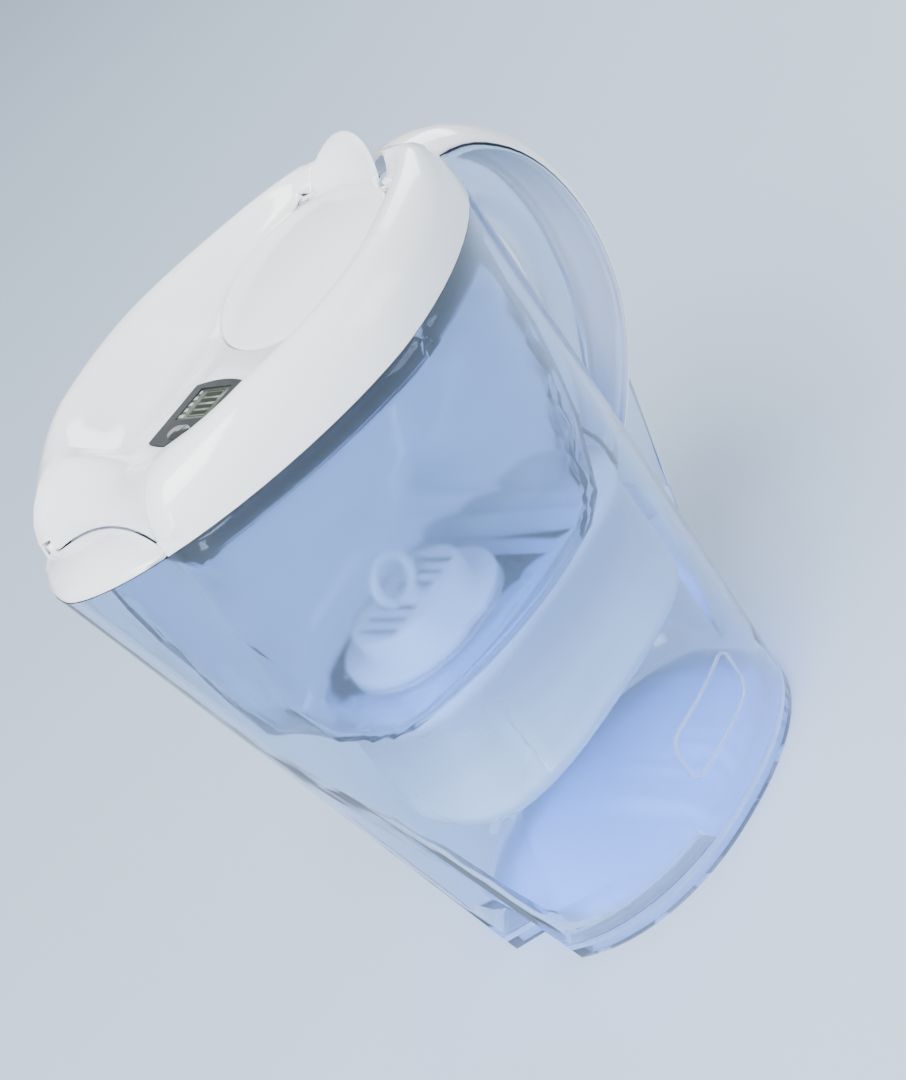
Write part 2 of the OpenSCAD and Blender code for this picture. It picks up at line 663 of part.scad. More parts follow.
// The quarter curve from the edge up to the crest, d and z; t is the depth below the outer skin
function curve_d(i, t, a) = mix(reach(i, t), crest_in(i), 1 - cos(a));
function curve_z(i, t, s, under) = mix(edge_z(i) + lip_h, crest_z(i, under) - t, s);
function under_z(i, d) = let (t = reach(i, lid_t), k = 1 - clamp((d - t) / (crest_in(i) - t)))
    curve_z(i, lid_t, sqrt(1 - k * k), true);
slope_ks = [0.2, 0.4, 0.6, 0.8, 1];
function slope_point(i, k, t, under) = spoke_point(i, mix(crest_in(i), toe_d(i), k),
    mix(crest_z(i, under), toe_z(i, under), smooth(k)) - t);

// Points round the hole: on the flip lid's seat, and down the throat below it
seat_drop = flip_t + fit;
function seat_point(i, r, depth, under) = let (a = spoke_angle(i))
    on_flip([r * cos(a), r * sin(a), -depth - drop(i, under)]);
function throat_point(i, r) = let (a = spoke_angle(i))
    on_flip([r * cos(a), r * sin(a), (throat_z - flip_z - r * cos(a) * sin(flip_tilt)) / cos(flip_tilt)]);
throat_r = hole_r - seat_w;
function lid_spoke(i) = let (d0 = reach(i, skirt_in), d1 = reach(i, skirt_in + skirt_t), d2 = reach(i, lid_t))
    concat(
        [spoke_point(i, 0, edge_z(i))],
        [for (a = [0, 15, 30, 45, 60, 75, 90])
            spoke_point(i, crest_in(i) * (1 - cos(a)), curve_z(i, 0, sin(a), false))],
        [for (k = slope_ks) slope_point(i, k, 0, false)],
        [seat_point(i, hole_r, 0, false), seat_point(i, hole_r, seat_drop, false),
         seat_point(i, throat_r, seat_drop, false), throat_point(i, throat_r),
         throat_point(i, throat_r + throat_t), seat_point(i, throat_r + throat_t, seat_drop + lid_t, true),
         seat_point(i, hole_r + throat_t, seat_drop + lid_t, true),
         seat_point(i, hole_r + throat_t, lid_t, true)],
        [for (j = [len(slope_ks) - 2 : -1 : 0]) slope_point(i, slope_ks[j], lid_t, true)],
        [spoke_point(i, max(crest_in(i), d1 + 1), crest_z(i, true) - lid_t)],
        [spoke_point(i, d1, under_z(i, d1)), spoke_point(i, d0, under_z(i, d0))],
        [for (d = [mix(d0, d2, 0.6), d2]) spoke_point(i, d, under_z(i, d))],
        [spoke_point(i, d2, edge_z(i))]);
function mirror_y(p) = [p[0], -p[1], p[2]];
// Spokes run round the lid, so each ring joins the same point of every spoke
module round_lid(spokes) {
    far = [for (i = [half_n - 2 : -1 : 1]) [for (p = spokes[i]) mirror_y(p)]];
    all = concat(spokes, far);
    loft([for (j = [0 : len(spokes[0]) - 1]) [for (i = [0 : len(all) - 1]) all[i][j]]], "loop");
}

// The skirt is welded under the lid, and keeps it in the funnel's collar
weld_gap = 0.25;
function weld_z(i, d) = min([for (k = [max(0, i - 1) : min(half_n - 1, i + 1)]) under_z(k, d)]) - weld_gap;
module lid_skirt() color("white") round_lid([
    for (i = [0 : half_n - 1])
        let (d0 = reach(i, skirt_in), d1 = reach(i, skirt_in + skirt_t), low = rim_z - skirt_h)
        [spoke_point(i, d1, weld_z(i, d1)), spoke_point(i, d1, low),
         spoke_point(i, d0, low), spoke_point(i, d0, weld_z(i, d0))]
]);

// The hinge of the flip lid: stub axles in blind bores, in the flip lid's own frame
hinge_back = 32.8;
hinge_drop = 1.9;
axle_from = 14.5;
axle_to = 25.8;
pocket_to = 22.4;
boss_to = axle_to + 1;
boss_half = 3.2;
pocket_half = 2.2;
// Room for the flip lid's edge as it swings back past the rim of its hole
scoop_r = 4.2;
scoop_from = 19;
scoop_to = 26;
scoop_low = 1.4;
module in_flip_plane() translate([flip_x, 0, flip_z]) rotate([0, -flip_tilt, 0]) children();
module at_flip_hinge() in_flip_plane() translate([hinge_back, 0, -hinge_drop]) children();
module along_y(r, y0, y1) for (s = [-1, 1]) translate([0, s * y0, 0]) rotate([-90 * s, 0, 0])
    cylinder(r = r, h = y1 - y0);
module block(x0, x1, y0, y1, z0, z1) for (s = [0, 1]) mirror([0, s, 0])
    translate([x0, y0, z0]) cube([x1 - x0, y1 - y0, z1 - z0]);

// The hinge of the spout flap
flap_axis_x = mouth_x - 2.2;
flap_axis_z = rim_z + 3.3;
flap_half = mouth_half - 1.2;
ear_w = 2.2;
flap_axle_to = flap_half + 3.5;
module at_flap_hinge() translate([flap_axis_x, 0, flap_axis_z]) children();

module bezel_outline(grow) {
    bow = 45;
    intersection() {
        square([bezel_l + 2 * grow, bezel_w + 2 * grow], center = true);
        translate([bow - bezel_l / 2, 0]) circle(bow + grow);
        translate([bezel_l / 2 - bow, 0]) circle(bow + grow);
    }
}

module lid_shell() color("white") difference() {
    union() {
        round_lid([for (i = [0 : half_n - 1]) lid_spoke(i)]);
        difference() {
            at_flip_hinge() block(-boss_half, boss_half, pocket_to, boss_to, -boss_half, hinge_drop - fit);
            in_flip_plane() cylinder(r = hole_r + throat_t / 2, h = 4 * boss_half, center = true);
        }
        at_flap_hinge() block(-2.4, 2.4, flap_half + 0.9, flap_half + 4, -2.6, 2.8);
    }
    at_flip_hinge() {
        along_y(axle_r + axle_fit, pocket_to - past, axle_to + fit);
        translate([-pocket_half, -pocket_to, -axle_r - 1.2]) cube([2 * pocket_half, 2 * pocket_to, 5.2]);
        intersection() {
            along_y(scoop_r, scoop_from, scoop_to);
            block(-scoop_r, scoop_r, scoop_from, scoop_to, scoop_low, scoop_r);
        }
    }
    at_flap_hinge() {
        along_y(axle_r + axle_fit, flap_half, flap_axle_to + fit);
        block(-5, 3.4, flap_half - ear_w - fit, flap_half + 0.7, -3.4, 3);
    }
    translate([bezel_x, 0, valley_z - lid_t - past]) linear_extrude(lid_t + 4 * past) bezel_outline(fit);
}

// ---------------------------------------------------------------- flip lid and spout flap

dome_n = 10;
plug_r = hole_r - seat_w - 0.5;
plug_h = 4;
tab_root = 1.7;
tab_sink = 1;
function dome_z(r) = flip_dome * (1 - pow(r / flip_r, 2));
module flip_plate() rotate_extrude() polygon(concat(
    [for (i = [0 : dome_n]) let (r = flip_r * i / dome_n) [r, dome_z(r)]],
    [[flip_r, -flip_t], [plug_r, -flip_t], [plug_r, -flip_t - plug_h], [plug_r - flip_t, -flip_t - plug_h],
     [plug_r - flip_t, dome_z(plug_r) - flip_t]],
    [for (i = [dome_n - 2 : -1 : 0]) let (r = flip_r * i / dome_n) [r, dome_z(r) - flip_t]]));

// The tab is a half disc that stands on the flip lid's edge, curved along it and leaning back
tab_r = flip_r - tab_root;
module thumb_tab() intersection() {
    rotate_extrude() polygon([[tab_r, -tab_sink], [tab_r + tab_t, -tab_sink],
        [tab_r + tab_t + tab_lean, tab_h], [tab_r + tab_lean, tab_h]]);
    rotate([90, 0, 90]) linear_extrude(2 * flip_r) polygon(concat(
        [[-tab_half, -2 * tab_sink], [tab_half, -2 * tab_sink]],
        [for (a = [0 : 7.5 : 180]) [tab_half * cos(a), tab_h * sin(a)]]));
}

module flip_lid() color("white") {
    in_flip_plane() {
        flip_plate();
        thumb_tab();
    }
    at_flip_hinge() along_y(axle_r, axle_from, axle_to);
}

// The flap roofs the spout between the lid's cut-away front and the rim of the jug
FLAP_N = 24;
FLAP_COLS = 8;
flap_seat_z = rim_z + flap_t;
function flap_back_x(y) = mouth_x - mouth_curve(y) - flap_gap;
function flap_back_z(y) = max(flap_seat_z, rim_z + mouth_arch * (1 - pow(y / mouth_half, 2)) - 0.6);
function flap_front_x(y) = nose_x(jug_h, y) + fit;
function flap_section(y) = let (
        high = flap_dome * (1 - pow(y / flap_half, 2)),
        top = [for (j = [0 : FLAP_COLS]) let (k = j / FLAP_COLS)
            [mix(flap_back_x(y), flap_front_x(y), k),
             mix(flap_back_z(y), flap_seat_z, pow(k, 1.4)) + 4 * high * k * (1 - k)]],
        loop = concat(top, [for (j = [FLAP_COLS : -1 : 0]) [top[j][0], top[j][1] - flap_t]]))
    [for (p = loop) [p[0], y, p[1]]];
module spout_flap() color("white") {
    loft([for (i = [0 : FLAP_N]) flap_section(mix(flap_half, -flap_half, i / FLAP_N))], "strip");
    at_flap_hinge() {
        along_y(axle_r, flap_half - ear_w, flap_axle_to);
        block(-4.4, 0, flap_half - ear_w, flap_half, -2.6, 1.2);
    }
}

// ---------------------------------------------------------------- filter indicator

bezel_z = valley_z + 0.6;
bezel_low_z = bezel_z - bezel_t;
case_wall = 1;
case_in = [1.7, 1];
case_l = bezel_l - 2 * case_in[0];
case_w = bezel_w - 2 * case_in[1];
case_low_z = bezel_low_z - case_h;
lcd_x = bezel_x + 4.6;
lcd_border = 0.8;
lcd_t = 1.2;
strip_h = 1.5;
strip_w = 1.6;
board_t = 1;
board_top_z = bezel_low_z - lcd_t - strip_h;
board_l = case_l - 2 * case_wall - 0.6;
board_w = case_w - 2 * case_wall - 0.6;
clip_t = 0.3;
button_x = bezel_x - 10.1;
button_rise = 0.5;
button_brim = 0.5;
dome_h = 0.5;
module at_indicator(x, z) translate([x, 0, z]) children();
module plate(l, w, h) translate([-l / 2, -w / 2, 0]) cube([l, w, h]);

module indicator_bezel() color([0.45, 0.47, 0.46]) difference() {
    at_indicator(bezel_x, bezel_low_z) linear_extrude(bezel_t) bezel_outline(0);
    at_indicator(lcd_x, bezel_low_z - past) plate(lcd_l, lcd_w, bezel_t + 2 * past);
    at_indicator(button_x, bezel_low_z - past) linear_extrude(bezel_t + 2 * past)
        rotate(90) oval(button_w + 0.2, button_l + 0.2);
    at_indicator(bezel_x - bezel_l / 2, bezel_low_z - past) linear_extrude(bezel_t + 2 * past) circle(1.6);
}

module indicator_case() color([0.9, 0.9, 0.9]) {
    difference() {
        at_indicator(bezel_x, case_low_z) plate(case_l, case_w, case_h);
        at_indicator(bezel_x, case_low_z + case_wall)
            plate(case_l - 2 * case_wall, case_w - 2 * case_wall, case_h);
    }
    post = board_top_z - board_t - case_low_z - case_wall;
    for (sx = [-1, 1], sy = [-1, 1])
        translate([bezel_x + sx * (board_l / 2 - 1.2), sy * (board_w / 2 - 1.2), case_low_z + case_wall])
            cylinder(r = 1, h = post);
}

module lcd_panel() color([0.6, 0.64, 0.55]) {
    at_indicator(lcd_x, bezel_low_z - lcd_t)
        plate(lcd_l + 2 * lcd_border, lcd_w + 2 * lcd_border, lcd_t);
    at_indicator(lcd_x, bezel_low_z) plate(lcd_l - 0.2, lcd_w - 0.2, bezel_t - 0.4);
}

module contact_strip() color([0.3, 0.3, 0.3])
    at_indicator(lcd_x + lcd_l / 2 - strip_w, board_top_z) plate(strip_w, lcd_w, strip_h);

module circuit_board() color([0.1, 0.4, 0.2])
    at_indicator(bezel_x, board_top_z - board_t) plate(board_l, board_w, board_t);

// The cell hangs under the board in a folded metal clip
cell_x = bezel_x + 3;
clip_w = 5;
cell_top_z = board_top_z - board_t - clip_t;
module coin_cell() color([0.75, 0.75, 0.77])
    at_indicator(cell_x, cell_top_z - cell_t) cylinder(r = cell_r, h = cell_t);

module cell_clip() color([0.8, 0.75, 0.6]) difference() {
    at_indicator(cell_x, cell_top_z - cell_t - clip_t)
        plate(clip_w, 2 * (cell_r + 0.1 + clip_t), cell_t + 2 * clip_t);
    at_indicator(cell_x, cell_top_z - cell_t) plate(clip_w + 2 * past, 2 * (cell_r + 0.1), cell_t);
}

module button_dome() color([0.85, 0.85, 0.85])
    at_indicator(button_x, board_top_z) cylinder(r1 = 2.2, r2 = 1.4, h = dome_h);

module start_button() color([0.12, 0.12, 0.12]) {
    stem_z = board_top_z + dome_h + button_travel + 0.05;
    at_indicator(button_x, bezel_low_z - 0.65) linear_extrude(bezel_t + button_rise + 0.65)
        rotate(90) oval(button_w, button_l);
    at_indicator(button_x, bezel_low_z - 0.65) linear_extrude(0.6)
        rotate(90) oval(button_w + 2 * button_brim, button_l + 2 * button_brim);
    at_indicator(button_x, stem_z) cylinder(r = 1.2, h = bezel_low_z - stem_z);
}

jug_body();
foot_ring();
handle_grip();
handle_cover();
funnel_tank();
cartridge_well();
cartridge_shell();
cartridge_cap();
cartridge_seal();
inlet_screen();
outlet_screen();
filter_granulate();
lid_shell();
lid_skirt();
flip_lid();
spout_flap();
indicator_case();
indicator_bezel();
lcd_panel();
contact_strip();
circuit_board();
coin_cell();
cell_clip();
button_dome();
start_button();
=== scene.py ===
"""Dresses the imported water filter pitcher: clear jug, blue funnel, white lid, filter and indicator.

Lengths in a class are in millimetres, apart from the lamps' and the studio's, and meshes are made in metres. The
pitcher stands upright on the floor, its spout towards -X and its handle towards +X.
"""

from __future__ import annotations

import json
import logging
import math
from dataclasses import dataclass, field
from enum import Enum

import bmesh
import bpy
from mathutils import Matrix, Vector
from mathutils.bvhtree import BVHTree

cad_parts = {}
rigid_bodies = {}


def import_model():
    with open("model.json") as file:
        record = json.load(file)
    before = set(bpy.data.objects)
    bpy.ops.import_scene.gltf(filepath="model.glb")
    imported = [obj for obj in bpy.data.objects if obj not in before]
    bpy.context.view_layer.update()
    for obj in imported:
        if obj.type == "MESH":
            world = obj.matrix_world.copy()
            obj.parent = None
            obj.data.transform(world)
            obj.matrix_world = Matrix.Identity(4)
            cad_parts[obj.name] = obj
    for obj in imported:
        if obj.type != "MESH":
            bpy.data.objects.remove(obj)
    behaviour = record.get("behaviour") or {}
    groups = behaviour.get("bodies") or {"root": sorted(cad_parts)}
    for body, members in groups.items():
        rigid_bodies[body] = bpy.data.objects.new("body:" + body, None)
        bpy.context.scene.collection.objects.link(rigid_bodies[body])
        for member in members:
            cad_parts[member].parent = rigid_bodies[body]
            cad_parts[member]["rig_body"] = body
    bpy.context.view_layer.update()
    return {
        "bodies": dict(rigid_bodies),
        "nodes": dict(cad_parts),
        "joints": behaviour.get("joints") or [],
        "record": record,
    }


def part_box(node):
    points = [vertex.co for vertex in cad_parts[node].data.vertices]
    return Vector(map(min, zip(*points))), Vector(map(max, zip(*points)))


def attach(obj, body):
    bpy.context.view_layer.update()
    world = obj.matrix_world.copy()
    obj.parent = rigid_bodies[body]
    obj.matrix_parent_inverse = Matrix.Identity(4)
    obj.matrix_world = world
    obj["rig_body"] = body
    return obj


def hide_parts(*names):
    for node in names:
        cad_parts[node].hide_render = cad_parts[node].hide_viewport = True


LOG = logging.getLogger("pitcher")
MM = 0.001
# Corners closer than the first of these, in metres, are one corner; edges shorter than the second go.
WELD = 2e-6
SLIVER = 1e-6
# Sockets of a Mix node that mixes colours.
MIX_FACTOR, MIX_FIRST, MIX_SECOND, MIX_RESULT = 0, 6, 7, 2
Colour = tuple[float, float, float]
Place = tuple[float, float, float]


class Pattern(Enum):
    """How a finish varies over the surface."""

    MOULDED = "moulded"
    CLEAR = "clear"
    WEAVE = "weave"
    BEADS = "beads"
    TRACKS = "tracks"
    BRUSHED = "brushed"
    LIQUID_CRYSTAL = "liquid_crystal"


@dataclass(frozen=True)
class Finish:
    """A surface finish: its two tones, gloss range and fine relief.

    Args:
        slot: the record's material slot that the finish belongs to.
        light: the lighter tone, linear RGB.
        dark: the tone it drifts to in soft patches.
        rough: lowest and highest roughness.
        drift_scale: how many patches there are to a metre.
        grain_scale: how many grains of relief there are to a metre.
        grain_mm: depth of the relief in millimetres.
        pattern: what the finish is laid out as.
        metallic: 1 for bare metal.
        transmission: share of light that passes through.
        ior: index of refraction.
        coat: weight of a clear gloss coat.
        absorb: tone that a long way through the solid takes, or None.
        density: absorption to a metre.
        haze: roughness of a moulded foot that blurs what it mirrors.
        haze_top: height in millimetres under which the haze lies.
    """

    slot: str
    light: Colour
    dark: Colour
    rough: tuple[float, float]
    drift_scale: float = 22.0
    grain_scale: float = 900.0
    grain_mm: float = 0.004
    pattern: Pattern = Pattern.MOULDED
    metallic: float = 0.0
    transmission: float = 0.0
    ior: float = 1.46
    coat: float = 0.0
    absorb: Colour | None = None
    density: float = 0.0
    haze: float = 0.0
    haze_top: float = 0.0


FINISHES: tuple[Finish, ...] = (
    Finish("clear_jug", (0.79, 0.885, 1.0), (0.79, 0.885, 1.0), (0.02, 0.06), 9.0, 16.0, 0.05, Pattern.CLEAR,
           transmission=1.0, ior=1.49, absorb=(0.15, 0.42, 0.95), density=34.0, haze=0.9, haze_top=9.5),
    Finish("handle_clear", (0.88, 0.93, 0.99), (0.88, 0.93, 0.99), (0.05, 0.13), 14.0, 20.0, 0.04, Pattern.CLEAR,
           transmission=1.0, ior=1.49, absorb=(0.3, 0.52, 0.92), density=40.0),
    Finish("funnel_clear", (0.77, 0.86, 0.975), (0.77, 0.86, 0.975), (0.05, 0.12), 11.0, 18.0, 0.05, Pattern.CLEAR,
           transmission=1.0, ior=1.49, absorb=(0.25, 0.46, 0.85), density=36.0),
    Finish("well_milky", (0.88, 0.93, 0.985), (0.82, 0.89, 0.965), (0.2, 0.32), 14.0, 500.0, 0.006,
           transmission=0.55, ior=1.46),
    Finish("foot_rubber", (0.86, 0.9, 0.94), (0.8, 0.85, 0.9), (0.1, 0.2), 20.0, 60.0, 0.02, Pattern.CLEAR,
           transmission=0.92, ior=1.46, absorb=(0.22, 0.36, 0.55), density=130.0),
    Finish("lid_white", (0.92, 0.925, 0.935), (0.885, 0.895, 0.91), (0.2, 0.29), 18.0, 1100.0, 0.003, coat=0.5),
    Finish("white_gloss", (0.92, 0.925, 0.935), (0.885, 0.895, 0.91), (0.13, 0.2), 16.0, 900.0, 0.002, coat=0.55),
    Finish("cartridge_white", (0.84, 0.86, 0.88), (0.79, 0.815, 0.84), (0.3, 0.42), 24.0, 800.0, 0.006),
    Finish("case_white", (0.78, 0.79, 0.8), (0.72, 0.73, 0.745), (0.35, 0.46), 40.0, 1000.0, 0.006),
    Finish("bezel_grey", (0.03, 0.033, 0.034), (0.022, 0.025, 0.026), (0.42, 0.52), 60.0, 2200.0, 0.008,
           ior=1.38),
    Finish("button_black", (0.03, 0.032, 0.034), (0.016, 0.017, 0.018), (0.2, 0.32), 90.0, 2000.0, 0.006, coat=0.3),
    Finish("lcd", (0.16, 0.185, 0.14), (0.125, 0.145, 0.11), (0.2, 0.28), 70.0, 4200.0, 0.002,
           Pattern.LIQUID_CRYSTAL, ior=1.38),
    Finish("seal_rubber", (0.6, 0.64, 0.67), (0.5, 0.54, 0.57), (0.5, 0.66), 60.0, 1400.0, 0.02),
    Finish("strip_rubber", (0.5, 0.42, 0.4), (0.1, 0.08, 0.08), (0.5, 0.65), 60.0, 1600.0, 0.01, Pattern.BRUSHED),
    Finish("screen_mesh", (0.86, 0.88, 0.9), (0.4, 0.44, 0.48), (0.4, 0.6), 700.0, 900.0, 0.12, Pattern.WEAVE),
    Finish("granulate", (0.78, 0.74, 0.62), (0.05, 0.05, 0.05), (0.4, 0.75), 900.0, 900.0, 0.25, Pattern.BEADS),
    Finish("board_green", (0.03, 0.2, 0.09), (0.55, 0.42, 0.16), (0.28, 0.42), 420.0, 600.0, 0.03, Pattern.TRACKS),
    Finish("cell_steel", (0.66, 0.67, 0.68), (0.5, 0.51, 0.53), (0.2, 0.38), 300.0, 2600.0, 0.004, Pattern.BRUSHED,
           metallic=1.0),
    Finish("clip_brass", (0.72, 0.55, 0.26), (0.55, 0.4, 0.17), (0.22, 0.4), 300.0, 2600.0, 0.004, Pattern.BRUSHED,
           metallic=1.0),
)
FLOOR = Finish("floor", (0.5, 0.6, 0.74), (0.47, 0.575, 0.72), (0.55, 0.66), 1.2, 160.0, 0.02)
BADGE_LINE = Finish("clear_jug", (0.72, 0.82, 0.96), (0.66, 0.77, 0.93), (0.14, 0.24), 60.0, 700.0, 0.006,
                    transmission=0.72, ior=1.49)
INK = Finish("lcd", (0.012, 0.015, 0.01), (0.02, 0.024, 0.016), (0.5, 0.6), 300.0, 3000.0, 0.001, ior=1.3)
PRINT = Finish("bezel_grey", (0.78, 0.79, 0.78), (0.66, 0.67, 0.67), (0.4, 0.5), 500.0, 3000.0, 0.001)


class NodeShop:
    """Makes the shared shader node groups once, and the materials that use them."""

    drift_detail: float = 3.0
    drift_roughness: float = 0.55
    drift_span: tuple[float, float] = (0.32, 0.68)
    relief_detail: float = 2.0
    haze_fade: float = 1.0
    lamp_pass_over: float = 0.5
    lamp_least: float = 0.25
    lamp_share: float = 0.72
    dark_beads_over: float = 0.62
    track_width: float = 0.012
    drift_to_waves: float = 6.0
    stripe_wobble: float = 0.6
    segment_share: float = 0.3

    def __init__(self) -> None:
        """Starts with empty shelves."""
        self.groups: dict[str, bpy.types.NodeTree] = {}
        self.materials: dict[Finish, bpy.types.Material] = {}

    def _new_group(
        self, name: str, inputs: list[tuple[str, str]], outputs: list[tuple[str, str]]
    ) -> bpy.types.NodeTree:
        """Makes an empty group with named sockets.

        Args:
            name: the group's name.
            inputs: (name, socket type) pairs.
            outputs: (name, socket type) pairs.

        Returns:
            The node tree, with its input and output nodes in place.
        """
        tree = bpy.data.node_groups.new(name, "ShaderNodeTree")
        for title, kind in inputs:
            tree.interface.new_socket(name=title, in_out="INPUT", socket_type=kind)
        for title, kind in outputs:
            tree.interface.new_socket(name=title, in_out="OUTPUT", socket_type=kind)
        tree.nodes.new("NodeGroupInput")
        tree.nodes.new("NodeGroupOutput")
        self.groups[name] = tree
        return tree

    def drift(self) -> bpy.types.NodeTree:
        """Soft patches of tone and gloss, as handling and moulding leave them.

        Returns:
            A group that puts out Colour and Roughness.
        """
        if "tone_drift" in self.groups:
            return self.groups["tone_drift"]
        tree = self._new_group(
            "tone_drift",
            [("Light", "NodeSocketColor"), ("Dark", "NodeSocketColor"), ("Scale", "NodeSocketFloat"),
             ("Least", "NodeSocketFloat"), ("Most", "NodeSocketFloat")],
            [("Colour", "NodeSocketColor"), ("Roughness", "NodeSocketFloat")],
        )
        start, end = tree.nodes["Group Input"], tree.nodes["Group Output"]
        place = tree.nodes.new("ShaderNodeTexCoord")
        noise = tree.nodes.new("ShaderNodeTexNoise")
        noise.inputs["Detail"].default_value = self.drift_detail
        noise.inputs["Roughness"].default_value = self.drift_roughness
        spread = tree.nodes.new("ShaderNodeMapRange")
        spread.inputs["From Min"].default_value, spread.inputs["From Max"].default_value = self.drift_span
        mix = tree.nodes.new("ShaderNodeMix")
        mix.data_type = "RGBA"
        gloss = tree.nodes.new("ShaderNodeMapRange")
        link = tree.links.new
        link(place.outputs["Object"], noise.inputs["Vector"])
        link(start.outputs["Scale"], noise.inputs["Scale"])
        link(noise.outputs["Fac"], spread.inputs["Value"])
        link(spread.outputs["Result"], mix.inputs[MIX_FACTOR])
        link(start.outputs["Light"], mix.inputs[MIX_FIRST])
        link(start.outputs["Dark"], mix.inputs[MIX_SECOND])
        link(mix.outputs[MIX_RESULT], end.inputs["Colour"])
        link(spread.outputs["Result"], gloss.inputs["Value"])
        link(start.outputs["Least"], gloss.inputs["To Min"])
        link(start.outputs["Most"], gloss.inputs["To Max"])
        link(gloss.outputs["Result"], end.inputs["Roughness"])
        return tree

    def relief(self) -> bpy.types.NodeTree:
        """Fine relief of moulded plastic, or the slow waves of a clear wall.

        Returns:
            A group that puts out Height, from 0 to 1.
        """
        if "mould_relief" in self.groups:
            return self.groups["mould_relief"]
        tree = self._new_group("mould_relief", [("Scale", "NodeSocketFloat")], [("Height", "NodeSocketFloat")])
        start, end = tree.nodes["Group Input"], tree.nodes["Group Output"]
        place = tree.nodes.new("ShaderNodeTexCoord")
        noise = tree.nodes.new("ShaderNodeTexNoise")
        noise.inputs["Detail"].default_value = self.relief_detail
        link = tree.links.new
        link(place.outputs["Object"], noise.inputs["Vector"])
        link(start.outputs["Scale"], noise.inputs["Scale"])
        link(noise.outputs["Fac"], end.inputs["Height"])
        return tree

    def material(self, finish: Finish, title: str = "") -> bpy.types.Material:
        """Makes a finish's material, or hands out the one already made.

        Args:
            finish: the finish.
            title: the material's name, or the finish's slot.

        Returns:
            The material.
        """
        if finish in self.materials:
            return self.materials[finish]
        made = bpy.data.materials.new(title or finish.slot)
        made.use_nodes = True
        tree = made.node_tree
        shader = tree.nodes["Principled BSDF"]
        link = tree.links.new
        drift = tree.nodes.new("ShaderNodeGroup")
        drift.node_tree = self.drift()
        drift.inputs["Light"].default_value = (*finish.light, 1.0)
        drift.inputs["Dark"].default_value = (*finish.dark, 1.0)
        drift.inputs["Scale"].default_value = finish.drift_scale
        drift.inputs["Least"].default_value, drift.inputs["Most"].default_value = finish.rough
        relief = tree.nodes.new("ShaderNodeGroup")
        relief.node_tree = self.relief()
        relief.inputs["Scale"].default_value = finish.grain_scale
        bump = tree.nodes.new("ShaderNodeBump")
        bump.inputs["Distance"].default_value = finish.grain_mm * MM
        link(relief.outputs["Height"], bump.inputs["Height"])
        link(bump.outputs["Normal"], shader.inputs["Normal"])
        link(drift.outputs["Roughness"], shader.inputs["Roughness"])
        shader.inputs["Base Color"].default_value = (*finish.light, 1.0)
        shader.inputs["Metallic"].default_value = finish.metallic
        shader.inputs["IOR"].default_value = finish.ior
        shader.inputs["Transmission Weight"].default_value = finish.transmission
        shader.inputs["Coat Weight"].default_value = finish.coat
        if finish.pattern is not Pattern.CLEAR:
            link(drift.outputs["Colour"], shader.inputs["Base Color"])
        if finish.pattern not in (Pattern.MOULDED, Pattern.CLEAR):
            self._lay_pattern(finish, tree, drift, bump, shader)
        if finish.haze > 0.0:
            self._haze_foot(finish, tree, drift, shader)
        if finish.transmission > self.lamp_pass_over:
            self._let_lamps_through(tree, shader, finish)
        if finish.absorb is not None:
            depth = tree.nodes.new("ShaderNodeVolumeAbsorption")
            depth.inputs["Color"].default_value = (*finish.absorb, 1.0)
            depth.inputs["Density"].default_value = finish.density
            link(depth.outputs["Volume"], tree.nodes["Material Output"].inputs["Volume"])
        self.materials[finish] = made
        return made

    def _haze_foot(
        self, finish: Finish, tree: bpy.types.NodeTree, drift: bpy.types.Node, shader: bpy.types.Node
    ) -> None:
        """Frosts the moulded floor of a clear wall.

        Args:
            finish: gives the haze and its height.
            tree: the material's nodes.
            drift: its tone drift group.
            shader: its Principled shader.
        """
        place = tree.nodes.new("ShaderNodeTexCoord")
        apart = tree.nodes.new("ShaderNodeSeparateXYZ")
        fade = tree.nodes.new("ShaderNodeMapRange")
        fade.inputs["From Min"].default_value = finish.haze_top * MM
        fade.inputs["From Max"].default_value = (finish.haze_top - self.haze_fade) * MM
        fade.inputs["To Max"].default_value = finish.haze
        most = tree.nodes.new("ShaderNodeMath")
        most.operation = "MAXIMUM"
        tree.links.new(place.outputs["Object"], apart.inputs["Vector"])
        tree.links.new(apart.outputs["Z"], fade.inputs["Value"])
        tree.links.new(fade.outputs["Result"], most.inputs[0])
        tree.links.new(drift.outputs["Roughness"], most.inputs[1])
        tree.links.new(most.outputs["Value"], shader.inputs["Roughness"])

    def _let_lamps_through(self, tree: bpy.types.NodeTree, shader: bpy.types.Node, finish: Finish) -> None:
        """Lets lamp light pass a clear wall as tinted light, so that what is behind it is lit.

        Args:
            tree: the material's nodes.
            shader: its Principled shader.
            finish: gives the tint.
        """
        path = tree.nodes.new("ShaderNodeLightPath")
        clear = tree.nodes.new("ShaderNodeBsdfTransparent")
        tint = [self.lamp_least + self.lamp_share * part for part in finish.light]
        clear.inputs["Color"].default_value = (*tint, 1.0)
        mix = tree.nodes.new("ShaderNodeMixShader")
        tree.links.new(path.outputs["Is Shadow Ray"], mix.inputs[0])
        tree.links.new(shader.outputs["BSDF"], mix.inputs[1])
        tree.links.new(clear.outputs["BSDF"], mix.inputs[2])
        tree.links.new(mix.outputs["Shader"], tree.nodes["Material Output"].inputs["Surface"])

